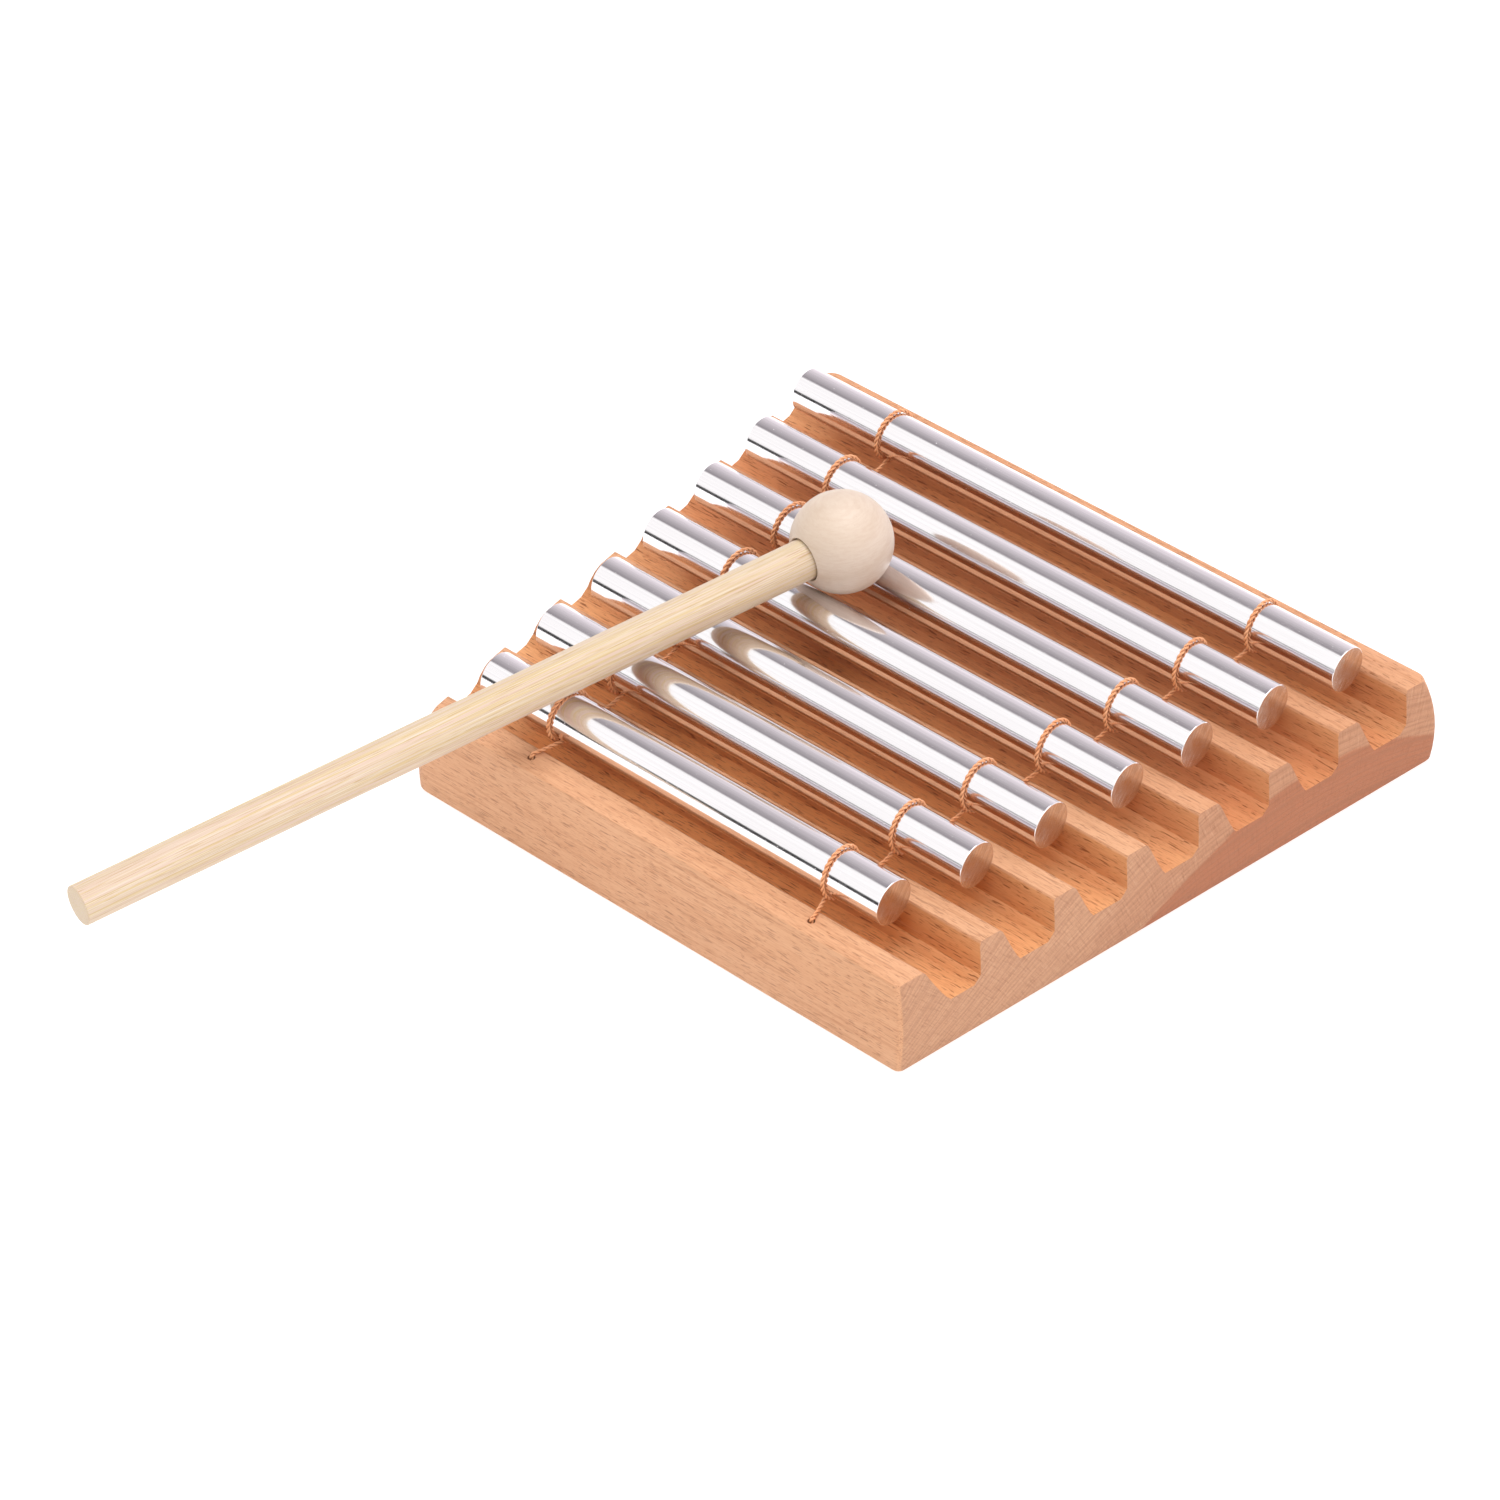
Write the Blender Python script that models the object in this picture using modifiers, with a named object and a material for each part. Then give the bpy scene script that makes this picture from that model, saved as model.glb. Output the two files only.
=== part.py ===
"""Small seven-note glockenspiel: solid round aluminium bars tied down by two cords
over a grooved beech block, with a ball-headed wooden mallet lying on the bars.

Frame: metres, +Z up. The origin is the centre of the block's underside, +X runs along
the bars, and +Y runs from the shortest bar at the front to the longest bar at the back.
"""

import math

import bmesh
import bpy
from mathutils import Vector

MM = 0.001

# Gap between pieces that touch on the real object
TOUCH_GAP = 0.3 * MM

# Base block, measured where it is widest and deepest
BASE_FRONT_WIDTH = 133.5 * MM
BASE_BACK_WIDTH = 172.0 * MM
BASE_DEPTH = 145.0 * MM
RAIL_HEIGHT = 22.5 * MM
RIDGE_HEIGHT = 21.9 * MM
FLOOR_HEIGHT = 12.6 * MM
# Corners in plan, from the front left one round to the back left one
CORNER_RADII = (3.6 * MM, 1.6 * MM, 2.4 * MM, 3.6 * MM)
CORNER_STEPS = 6
EDGE_EASE = 0.45 * MM
EDGE_STEPS = 2
# Three sides are sanded to an arc: its radius, and the height where the side stands out most
LEFT_ARC = (33.5 * MM, 3.5 * MM)
RIGHT_ARC = (66.6 * MM, 11.0 * MM)
BACK_ARC = (50.6 * MM, 4.0 * MM)
SIDE_STEPS = 8

# Groove profile, seen along the bars: a coved slope, a flat floor and a steep wall
GROOVE_COUNT = 7
GROOVE_PITCH = 19.05 * MM
FIRST_WALL_Y = -52.3 * MM
FRONT_RAIL_TOP_WIDTH = 7.0 * MM
FRONT_SLOPE_WIDTH = 5.6 * MM
RIDGE_SLOPE_WIDTH = 3.8 * MM
RIDGE_TOP_WIDTH = 5.5 * MM
WALL_LEAN = 0.4 * MM
WALL_FOOT_CHAMFER = 1.7 * MM
WALL_TOP_CHAMFER = 0.5 * MM
SLOPE_EASE = 0.7 * MM
SLOPE_CURVE = 1.25
SLOPE_STEPS = 5
CUTTER_OVERSHOOT = 4.0 * MM

# Bars, front to back. Each has its length, as cut for its note, and how far its middle
# lies along and across from its nominal place, because a tied bar is never quite centred.
BAR_RADIUS = 5.0 * MM
BAR_PITCH = 18.85 * MM
FIRST_BAR_Y = -58.9 * MM
BAR_AXIS_HEIGHT = 27.7 * MM
BARS = {
    "tone_bar_b": (107.1 * MM, -0.7 * MM, 0.0),
    "tone_bar_a": (114.6 * MM, 0.4 * MM, 0.0),
    "tone_bar_g": (119.9 * MM, 0.8 * MM, -0.2 * MM),
    "tone_bar_f": (126.8 * MM, 0.9 * MM, 0.0),
    "tone_bar_e": (132.0 * MM, 0.7 * MM, -0.1 * MM),
    "tone_bar_d": (138.7 * MM, 1.2 * MM, 0.1 * MM),
    "tone_bar_c": (146.8 * MM, 1.0 * MM, 0.6 * MM),
}
BAR_END_CHAMFER = 0.2 * MM
BAR_SIDES = 56

# Cords: where each one crosses the bars, front to back, and its holes in the two rails
CORD_RADIUS = 0.475 * MM
CORD_TO_BAR_GAP = 0.3 * MM
CORD_CROSSINGS = {
    "cord_right": [x * MM for x in (38.9, 39.8, 42.0, 45.1, 47.1, 49.2, 52.2)],
    "cord_left": [x * MM for x in (-34.3, -35.4, -37.6, -39.8, -42.3, -45.1, -47.6)],
}
CORD_HOLES = {
    "cord_right": (40.4 * MM, 53.0 * MM),
    "cord_left": (-35.2 * MM, -48.6 * MM),
}
CORD_HOLE_FRONT_Y = -69.0 * MM
CORD_HOLE_BACK_Y = 66.2 * MM
CORD_HOLE_RADIUS = 0.8 * MM
KNOT_RECESS_RADIUS = 2.4 * MM
KNOT_RECESS_DEPTH = 4.0 * MM
KNOT_RADIUS = 1.6 * MM
KNOT_CENTRE_HEIGHT = 1.9 * MM
LOOP_SHIFT_PER_TURN = 1.35 * MM
LOOP_FIRST_ANGLE = math.radians(236.0)
LOOP_LAST_ANGLE = math.radians(648.0)
LOOP_STEPS = 18
RAIL_BEND_STEPS = 4
RIM_CLEARANCE = 0.05 * MM
HOLE_STEPS = 4
HOLE_SIDES = 20
KNOT_SEGMENTS = 16
KNOT_RINGS = 10

# Mallet: a bored ball on a slightly tapered stick, lying on the bars
HEAD_RADIUS = 10.8 * MM
HEAD_X = -19.5 * MM
HEAD_VALLEY = 4
HEAD_BORE_RADIUS = 4.5 * MM
HEAD_BORE_DEPTH = 14.0 * MM
HEAD_MOUTH_CHAMFER = 0.3 * MM
HEAD_ARC_STEPS = 16
HEAD_SIDES = 40
STICK_HEAD_RADIUS = 4.2 * MM
STICK_END_RADIUS = 3.95 * MM
STICK_REACH = 179.9 * MM
STICK_YAW = math.radians(12.75)
STICK_END_CHAMFER = 0.25 * MM
STICK_SIDES = 40

# Colours (linear RGB), roughness, metallic
BEECH = ((0.56, 0.27, 0.13), 0.55, 0.0)
ALUMINIUM = ((0.86, 0.86, 0.88), 0.16, 1.0)
WAXED_CORD = ((0.46, 0.16, 0.05), 0.6, 0.0)
BAMBOO = ((0.78, 0.62, 0.38), 0.5, 0.0)
PALE_WOOD = ((0.82, 0.62, 0.42), 0.55, 0.0)


def clear_scene():
    """Remove every object, so that the script always starts from nothing."""
    for item in list(bpy.data.objects):
        bpy.data.objects.remove(item, do_unlink=True)


def new_collection(name):
    """Make a collection under the scene's own."""
    group = bpy.data.collections.new(name)
    bpy.context.scene.collection.children.link(group)
    return group


def new_material(name, finish):
    """Make a Principled material from a colour, a roughness and a metallic value."""
    colour, roughness, metallic = finish
    result = bpy.data.materials.new(name)
    result.use_nodes = True
    shader = result.node_tree.nodes["Principled BSDF"]
    shader.inputs["Base Color"].default_value = (*colour, 1.0)
    shader.inputs["Roughness"].default_value = roughness
    shader.inputs["Metallic"].default_value = metallic
    return result


def add_object(name, data, group, finish=None):
    """Link an object holding the data, with its own material."""
    result = bpy.data.objects.new(name, data)
    group.objects.link(result)
    if finish is not None:
        data.materials.append(new_material(name + "_finish", finish))
    return result


def mark_as_cutter(cutter):
    """Show a cutter as wire and keep it out of renders."""
    cutter.hide_render = True
    cutter.display_type = "WIRE"


def add_cut(target, cutter, name):
    """Subtract a cutter from a target."""
    cut = target.modifiers.new(name, "BOOLEAN")
    cut.operation = "DIFFERENCE"
    cut.solver = "EXACT"
    cut.object = cutter


def flat_prism(name, outline, half_thickness, group, finish=None):
    """Extrude a closed flat outline both ways along its local Z, as a welded mesh."""
    curve = bpy.data.curves.new(name, "CURVE")
    curve.dimensions = "2D"
    curve.fill_mode = "BOTH"
    curve.extrude = half_thickness
    spline = curve.splines.new("POLY")
    spline.points.add(len(outline) - 1)
    for point, (across, along) in zip(spline.points, outline):
        point.co = (across, along, 0.0, 1.0)
    spline.use_cyclic_u = True
    return curve_to_mesh(name, curve, group, finish)


def curve_to_mesh(name, curve, group, finish=None):
    """Turn curve data into a welded mesh object of the same name."""
    source = bpy.data.objects.new(name + "_curve", curve)
    group.objects.link(source)
    bpy.context.view_layer.update()
    evaluated = source.evaluated_get(bpy.context.evaluated_depsgraph_get())
    mesh = bpy.data.meshes.new_from_object(evaluated)
    mesh.name = name
    shape = bmesh.new()
    shape.from_mesh(mesh)
    bmesh.ops.remove_doubles(shape, verts=shape.verts, dist=0.01 * MM)
    bmesh.ops.recalc_face_normals(shape, faces=shape.faces)
    shape.to_mesh(mesh)
    shape.free()
    matrix = source.matrix_world.copy()
    bpy.data.objects.remove(source, do_unlink=True)
    result = add_object(name, mesh, group, finish)
    result.matrix_world = matrix
    return result


def turned(name, profile, sides, group, finish=None):
    """Turn a profile of (radius, height) points about the object's local Z axis."""
    mesh = bpy.data.meshes.new(name)
    points = [(radius, 0.0, height) for radius, height in profile]
    edges = [(index, index + 1) for index in range(len(points) - 1)]
    mesh.from_pydata(points, edges, [])
    result = add_object(name, mesh, group, finish)
    screw = result.modifiers.new("Turn", "SCREW")
    screw.axis = "Z"
    screw.steps = sides
    screw.render_steps = sides
    screw.use_merge_vertices = True
    screw.merge_threshold = 0.01 * MM
    screw.use_smooth_shade = True
    return result


def rounded_corner(before, corner, after, radius, steps):
    """Points of the arc that rounds one corner of a flat outline."""
    to_before = (before - corner).normalized()
    to_after = (after - corner).normalized()
    half_angle = to_before.angle(to_after) / 2.0
    centre = corner + (to_before + to_after).normalized() * (radius / math.sin(half_angle))
    reach = radius / math.tan(half_angle)
    start = (corner + to_before * reach) - centre
    sweep = math.pi - 2.0 * half_angle
    turn = sweep if start.x * to_before.y - start.y * to_before.x < 0.0 else -sweep
    points = []
    for step in range(steps + 1):
        angle = turn * step / steps
        across = start.x * math.cos(angle) - start.y * math.sin(angle)
        along = start.x * math.sin(angle) + start.y * math.cos(angle)
        points.append((centre.x + across, centre.y + along))
    return points


def half_width(y):
    """Half the block's width at its widest height, which grows from front to back."""
    part = y / BASE_DEPTH + 0.5
    return (BASE_FRONT_WIDTH + (BASE_BACK_WIDTH - BASE_FRONT_WIDTH) * part) / 2.0


def sanded_inset(arc, height):
    """How far a side sanded to an arc has drawn in at a height."""
    radius, widest_height = arc
    return radius - math.sqrt(radius ** 2 - (height - widest_height) ** 2)


def base_outline(height, ease):
    """Plan of the block at a height: narrow at the front and wide at the back."""
    left = sanded_inset(LEFT_ARC, height) + ease
    right = sanded_inset(RIGHT_ARC, height) + ease
    front_y = -BASE_DEPTH / 2.0 + ease
    back_y = BASE_DEPTH / 2.0 - sanded_inset(BACK_ARC, height) - ease
    corners = [
        Vector((left - half_width(front_y), front_y)),
        Vector((half_width(front_y) - right, front_y)),
        Vector((half_width(back_y) - right, back_y)),
        Vector((left - half_width(back_y), back_y)),
    ]
    outline = []
    for index, corner in enumerate(corners):
        following = corners[(index + 1) % len(corners)]
        radius = CORNER_RADII[index]
        outline += rounded_corner(corners[index - 1], corner, following, radius, CORNER_STEPS)
    return outline


def base_levels():
    """Heights up the block, each with how far its eased top or bottom edge draws it in."""
    levels = []
    for step in range(EDGE_STEPS + 1):
        angle = math.pi / 2.0 * step / EDGE_STEPS
        levels.append((EDGE_EASE * (1.0 - math.cos(angle)), EDGE_EASE * (1.0 - math.sin(angle))))
    top_levels = [(RAIL_HEIGHT - height, ease) for height, ease in reversed(levels)]
    span = RAIL_HEIGHT - 2.0 * EDGE_EASE
    for step in range(1, SIDE_STEPS):
        levels.append((EDGE_EASE + span * step / SIDE_STEPS, 0.0))
    return levels + top_levels


def slope_points(start_y, width, top):
    """Coved slope from an eased top edge down to the groove floor."""
    points = [(start_y - SLOPE_EASE, top)]
    drop = top - SLOPE_EASE - FLOOR_HEIGHT
    for step in range(SLOPE_STEPS + 1):
        part = step / SLOPE_STEPS
        height = FLOOR_HEIGHT + drop * (1.0 - part) ** SLOPE_CURVE
        points.append((start_y + width * part, height))
    return points


def wall_points(foot_y, top):
    """Steep wall from the groove floor up to a chamfered top edge."""
    return [
        (foot_y - WALL_FOOT_CHAMFER, FLOOR_HEIGHT),
        (foot_y, FLOOR_HEIGHT + WALL_FOOT_CHAMFER),
        (foot_y + WALL_LEAN, top - 2.0 * WALL_TOP_CHAMFER),
        (foot_y + WALL_LEAN + WALL_TOP_CHAMFER, top),
    ]


def groove_outline():
    """Everything above the grooves and ridges, between the front and the back rail."""
    front_slope_y = -BASE_DEPTH / 2.0 + FRONT_RAIL_TOP_WIDTH
    outline = slope_points(front_slope_y, FRONT_SLOPE_WIDTH, RAIL_HEIGHT)
    for groove in range(GROOVE_COUNT):
        foot_y = FIRST_WALL_Y + groove * GROOVE_PITCH
        is_last = groove == GROOVE_COUNT - 1
        outline += wall_points(foot_y, RAIL_HEIGHT if is_last else RIDGE_HEIGHT)
        if not is_last:
            slope_y = foot_y + WALL_LEAN + WALL_TOP_CHAMFER + RIDGE_TOP_WIDTH
            outline += slope_points(slope_y, RIDGE_SLOPE_WIDTH, RIDGE_HEIGHT)
    first_y, first_z = outline[0]
    last_y, last_z = outline[-1]
    outline[0] = (first_y - CUTTER_OVERSHOOT, first_z + CUTTER_OVERSHOOT)
    outline[-1] = (last_y + CUTTER_OVERSHOOT / 2.0, last_z + CUTTER_OVERSHOOT)
    return outline


def hole_cutter(name, x, y, group):
    """Stepped drill: a cord hole right through, with a wider knot recess from below."""
    profile = [
        (0.0, RAIL_HEIGHT + CUTTER_OVERSHOOT),
        (CORD_HOLE_RADIUS, RAIL_HEIGHT + CUTTER_OVERSHOOT),
        (CORD_HOLE_RADIUS, KNOT_RECESS_DEPTH),
        (KNOT_RECESS_RADIUS, KNOT_RECESS_DEPTH),
        (KNOT_RECESS_RADIUS, -CUTTER_OVERSHOOT),
        (0.0, -CUTTER_OVERSHOOT),
    ]
    cutter = turned(name, profile, HOLE_SIDES, group)
    cutter.location = (x, y, 0.0)
    mark_as_cutter(cutter)
    return cutter


def lofted_block(parts):
    """The block before its grooves, lofted through its plan at each level."""
    shape = bmesh.new()
    rings = []
    for height, ease in base_levels():
        rings.append([shape.verts.new((x, y, height)) for x, y in base_outline(height, ease)])
    for lower, upper in zip(rings, rings[1:]):
        for index in range(len(lower)):
            following = (index + 1) % len(lower)
            shape.faces.new((lower[index], lower[following], upper[following], upper[index]))
    shape.faces.new(list(reversed(rings[0])))
    shape.faces.new(rings[-1])
    mesh = bpy.data.meshes.new("base")
    shape.to_mesh(mesh)
    shape.free()
    return add_object("base", mesh, parts, BEECH)


def build_base(parts, cutters):
    """Grooved block with four stepped holes for the cords."""
    base = lofted_block(parts)

    grooves = flat_prism("groove_cutter", groove_outline(), BASE_BACK_WIDTH, cutters)
    # Local X, Y and Z of the flat outline become the frame's Y, Z and X
    grooves.rotation_euler = (math.pi / 2.0, 0.0, math.pi / 2.0)
    mark_as_cutter(grooves)
    add_cut(base, grooves, "Grooves")

    for cord_name, (front_x, back_x) in CORD_HOLES.items():
        ends = (("front", front_x, CORD_HOLE_FRONT_Y), ("back", back_x, CORD_HOLE_BACK_Y))
        for end, x, y in ends:
            drill = hole_cutter(f"{cord_name}_{end}_drill", x, y, cutters)
            add_cut(base, drill, f"{cord_name} {end} hole")
    return base


def bar_y(index):
    """Place of a bar's axis across the block, counted from the front."""
    across_shift = list(BARS.values())[index][2]
    return FIRST_BAR_Y + index * BAR_PITCH + across_shift


def build_bars(parts):
    """Solid round bars, each with its origin at its middle, on its own axis."""
    for index, (name, (length, along_shift, _)) in enumerate(BARS.items()):
        half = length / 2.0
        profile = [
            (0.0, half),
            (BAR_RADIUS - BAR_END_CHAMFER, half),
            (BAR_RADIUS, half - BAR_END_CHAMFER),
            (BAR_RADIUS, -half + BAR_END_CHAMFER),
            (BAR_RADIUS - BAR_END_CHAMFER, -half),
            (0.0, -half),
        ]
        bar = turned(name, profile, BAR_SIDES, parts, ALUMINIUM)
        bar.rotation_euler = (0.0, math.pi / 2.0, 0.0)
        bar.location = (along_shift, bar_y(index), BAR_AXIS_HEIGHT)


def loop_points(middle_x, y, outward):
    """One turn of cord around a bar, in from the front and out under it to the back."""
    radius = BAR_RADIUS + CORD_TO_BAR_GAP + CORD_RADIUS
    middle_angle = (LOOP_FIRST_ANGLE + LOOP_LAST_ANGLE) / 2.0
    points = []
    for step in range(LOOP_STEPS + 1):
        angle = LOOP_FIRST_ANGLE + (LOOP_LAST_ANGLE - LOOP_FIRST_ANGLE) * step / LOOP_STEPS
        shift = LOOP_SHIFT_PER_TURN * (angle - middle_angle) / (2.0 * math.pi)
        across = y + radius * math.cos(angle)
        height = BAR_AXIS_HEIGHT + radius * math.sin(angle)
        points.append(Vector((middle_x + outward * shift, across, height)))
    return points


def rail_bend(x, hole_y, inward):
    """Up through a rail's hole and over its rim towards the bars."""
    bend_radius = CORD_HOLE_RADIUS + RIM_CLEARANCE
    rim_y = hole_y + inward * bend_radius
    points = []
    first_height = KNOT_CENTRE_HEIGHT + KNOT_RADIUS + TOUCH_GAP
    for step in range(HOLE_STEPS):
        height = first_height + (RAIL_HEIGHT - first_height) * step / HOLE_STEPS
        points.append(Vector((x, hole_y, height)))
    for step in range(RAIL_BEND_STEPS + 1):
        angle = math.pi / 2.0 * step / RAIL_BEND_STEPS
        across = rim_y - inward * bend_radius * math.cos(angle)
        points.append(Vector((x, across, RAIL_HEIGHT + bend_radius * math.sin(angle))))
    return points


def point_over(before, after, y, top):
    """Point of the cord between two others, just clear of the wood below it."""
    part = (y - before.y) / (after.y - before.y)
    return Vector((before.x + (after.x - before.x) * part, y, top + TOUCH_GAP + CORD_RADIUS))


def ridge_points(before, after, ridge):
    """Two points that carry the cord over a ridge, between two loops."""
    front_y = FIRST_WALL_Y + ridge * GROOVE_PITCH + WALL_LEAN
    back_y = front_y + RIDGE_TOP_WIDTH + WALL_TOP_CHAMFER
    return [point_over(before, after, y, RIDGE_HEIGHT) for y in (front_y, back_y)]


def cord_route(name):
    """Centre line of a cord: front hole, a loop around every bar, back hole."""
    crossings = CORD_CROSSINGS[name]
    outward = math.copysign(1.0, crossings[0])
    loops = [loop_points(x, bar_y(index), outward) for index, x in enumerate(crossings)]
    front_x, back_x = CORD_HOLES[name]
    route = rail_bend(front_x, CORD_HOLE_FRONT_Y, 1.0)
    front_edge_y = FRONT_RAIL_TOP_WIDTH - BASE_DEPTH / 2.0
    route.append(point_over(route[-1], loops[0][0], front_edge_y, RAIL_HEIGHT))
    for index, loop in enumerate(loops):
        route += loop
        if loop is not loops[-1]:
            route += ridge_points(loop[-1], loops[index + 1][0], index)
    back_bend = rail_bend(back_x, CORD_HOLE_BACK_Y, -1.0)
    back_edge_y = FIRST_WALL_Y + (GROOVE_COUNT - 1) * GROOVE_PITCH + WALL_LEAN
    route.append(point_over(loops[-1][-1], back_bend[-1], back_edge_y, RAIL_HEIGHT))
    route += reversed(back_bend)
    return route


def build_cord(name, parts):
    """One cord as a round tube along its route, with closed ends."""
    route = cord_route(name)
    curve = bpy.data.curves.new(name, "CURVE")
    curve.dimensions = "3D"
    curve.bevel_depth = CORD_RADIUS
    curve.bevel_resolution = 2
    curve.use_fill_caps = True
    spline = curve.splines.new("POLY")
    spline.points.add(len(route) - 1)
    for point, place in zip(spline.points, route):
        point.co = (*place, 1.0)
    cord = curve_to_mesh(name, curve, parts, WAXED_CORD)
    cord.data.shade_smooth()


def build_knots(parts):
    """Stop knot at each cord end, in its recess under a rail."""
    for cord_name, (front_x, back_x) in CORD_HOLES.items():
        ends = (("front", front_x, CORD_HOLE_FRONT_Y), ("back", back_x, CORD_HOLE_BACK_Y))
        for end, x, y in ends:
            name = f"{cord_name}_{end}_knot"
            mesh = bpy.data.meshes.new(name)
            shape = bmesh.new()
            bmesh.ops.create_uvsphere(
                shape, u_segments=KNOT_SEGMENTS, v_segments=KNOT_RINGS, radius=KNOT_RADIUS
            )
            shape.to_mesh(mesh)
            shape.free()
            mesh.shade_smooth()
            knot = add_object(name, mesh, parts, WAXED_CORD)
            knot.location = (x, y, KNOT_CENTRE_HEIGHT)


def head_centre():
    """Where the ball rests, in the valley between two bars."""
    front_y = bar_y(HEAD_VALLEY - 1)
    half_valley = (bar_y(HEAD_VALLEY) - front_y) / 2.0
    reach = BAR_RADIUS + HEAD_RADIUS + TOUCH_GAP
    height = BAR_AXIS_HEIGHT + math.sqrt(reach ** 2 - half_valley ** 2)
    return Vector((HEAD_X, front_y + half_valley, height))


def stick_direction(centre):
    """From the ball to the stick's free end, resting on the cord loop of the front bar."""
    back = centre.y - bar_y(0)
    up = centre.z - BAR_AXIS_HEIGHT
    rest_height = BAR_RADIUS + CORD_TO_BAR_GAP + 2.0 * CORD_RADIUS + TOUCH_GAP + STICK_HEAD_RADIUS
    slope = math.acos(rest_height / math.hypot(back, up)) - math.atan2(back, up)
    return Vector((-math.tan(STICK_YAW), -1.0, -math.tan(slope))).normalized()


def build_mallet(parts):
    """Bored ball and stick, both hung from one empty at the ball's centre."""
    centre = head_centre()
    towards_head = -stick_direction(centre)
    holder = bpy.data.objects.new("mallet_place", None)
    parts.objects.link(holder)
    holder.location = centre
    holder.rotation_mode = "QUATERNION"
    holder.rotation_quaternion = towards_head.to_track_quat("Z", "Y")

    mouth_radius = HEAD_BORE_RADIUS + HEAD_MOUTH_CHAMFER
    last_angle = math.asin(mouth_radius / HEAD_RADIUS)
    profile = []
    for step in range(HEAD_ARC_STEPS + 1):
        angle = (math.pi - last_angle) * step / HEAD_ARC_STEPS
        profile.append((HEAD_RADIUS * math.sin(angle), HEAD_RADIUS * math.cos(angle)))
    mouth_height = profile[-1][1]
    bore_top = -HEAD_RADIUS + HEAD_BORE_DEPTH
    profile.append((HEAD_BORE_RADIUS, mouth_height + HEAD_MOUTH_CHAMFER))
    profile.append((HEAD_BORE_RADIUS, bore_top))
    profile.append((0.0, bore_top))
    head = turned("mallet_head", profile, HEAD_SIDES, parts, PALE_WOOD)
    head.parent = holder

    stick_top = bore_top - TOUCH_GAP
    stick_profile = [
        (0.0, stick_top),
        (STICK_HEAD_RADIUS - STICK_END_CHAMFER, stick_top),
        (STICK_HEAD_RADIUS, stick_top - STICK_END_CHAMFER),
        (STICK_HEAD_RADIUS, mouth_height),
        (STICK_END_RADIUS, -STICK_REACH + STICK_END_CHAMFER),
        (STICK_END_RADIUS - STICK_END_CHAMFER, -STICK_REACH),
        (0.0, -STICK_REACH),
    ]
    stick = turned("mallet_stick", stick_profile, STICK_SIDES, parts, BAMBOO)
    stick.parent = holder


def main():
    """Build every piece of the glockenspiel."""
    clear_scene()
    parts = new_collection("glockenspiel")
    cutters = new_collection("glockenspiel_cutters")
    build_base(parts, cutters)
    build_bars(parts)
    for cord_name in CORD_CROSSINGS:
        build_cord(cord_name, parts)
    build_knots(parts)
    build_mallet(parts)
    bpy.context.view_layer.update()


main()
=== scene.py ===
"""Looks of the seven-note glockenspiel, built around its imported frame."""

import math

import bmesh
import bpy
import numpy as np
from mathutils import Matrix, Vector


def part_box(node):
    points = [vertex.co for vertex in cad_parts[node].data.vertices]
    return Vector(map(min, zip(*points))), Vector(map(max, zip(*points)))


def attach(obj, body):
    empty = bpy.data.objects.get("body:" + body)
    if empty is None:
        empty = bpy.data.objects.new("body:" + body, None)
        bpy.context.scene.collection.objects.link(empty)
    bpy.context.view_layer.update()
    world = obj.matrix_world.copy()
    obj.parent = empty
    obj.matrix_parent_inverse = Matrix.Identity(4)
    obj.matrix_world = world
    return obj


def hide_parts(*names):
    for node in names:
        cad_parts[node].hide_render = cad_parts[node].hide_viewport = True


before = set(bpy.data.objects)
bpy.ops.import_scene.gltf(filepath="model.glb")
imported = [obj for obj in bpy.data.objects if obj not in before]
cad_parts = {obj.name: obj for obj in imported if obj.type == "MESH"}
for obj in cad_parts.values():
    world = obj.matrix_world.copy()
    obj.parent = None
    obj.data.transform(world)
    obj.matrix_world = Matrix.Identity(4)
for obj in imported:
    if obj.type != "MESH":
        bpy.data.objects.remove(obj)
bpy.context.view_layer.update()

MM = 0.001
BASE_BODY = "base_assembly"
MALLET_BODY = "mallet"
BAR_NODES = [f"tone_bar_{note}" for note in "bagfedc"]

# Camera, given as where it stands round the point that it looks at
CAMERA_AZIMUTH = math.radians(43.6)
CAMERA_ELEVATION = math.radians(39.48)
CAMERA_DISTANCE = 1.184
CAMERA_ROLL = math.radians(-1.63)
CAMERA_LENS = 141.3
CAMERA_AIM = Vector((-5.8, -36.3, 20.0)) * MM

# Cords. Where they cross the bars, and their holes, are the frame's own places.
CORD_RADIUS = 0.45 * MM
CORD_CROSSINGS = {
    "cord_right": [x * MM for x in (38.9, 39.8, 42.0, 45.1, 47.1, 49.2, 52.2)],
    "cord_left": [x * MM for x in (-34.3, -35.4, -37.6, -39.8, -42.3, -45.1, -47.6)],
}
CORD_HOLES = {
    "cord_right": (40.4 * MM, 53.0 * MM),
    "cord_left": (-35.2 * MM, -48.6 * MM),
}
CORD_HOLE_FRONT_Y = -69.0 * MM
CORD_HOLE_BACK_Y = 66.2 * MM
CORD_END_Z = 3.8 * MM
CORD_BEND_RADIUS = 0.85 * MM
CORD_BEND_SQUASH = 0.7
CORD_BEND_STEPS = 4
FRONT_RAIL_EDGE_Y = -65.6 * MM
BACK_RAIL_EDGE_Y = 62.6 * MM
FIRST_RIDGE_Y = -51.9 * MM
RIDGE_PITCH = 19.05 * MM
RIDGE_REST_WIDTH = 5.7 * MM
RIDGE_TOP_Z = 21.9 * MM
CORD_TO_BAR_GAP = 0.06 * MM
CORD_TO_WOOD_GAP = 0.06 * MM
LOOP_SHIFT_PER_TURN = 1.25 * MM
LOOP_FIRST_ANGLE = math.radians(236.0)
LOOP_LAST_ANGLE = math.radians(648.0)
LOOP_STEPS = 40
CURVE_STEPS = 8
TWIST_PITCH = 2.7 * MM
STEPS_PER_PITCH = 14
PLY_SIDES = 10
PLY_RADIUS = CORD_RADIUS * 0.54
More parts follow.
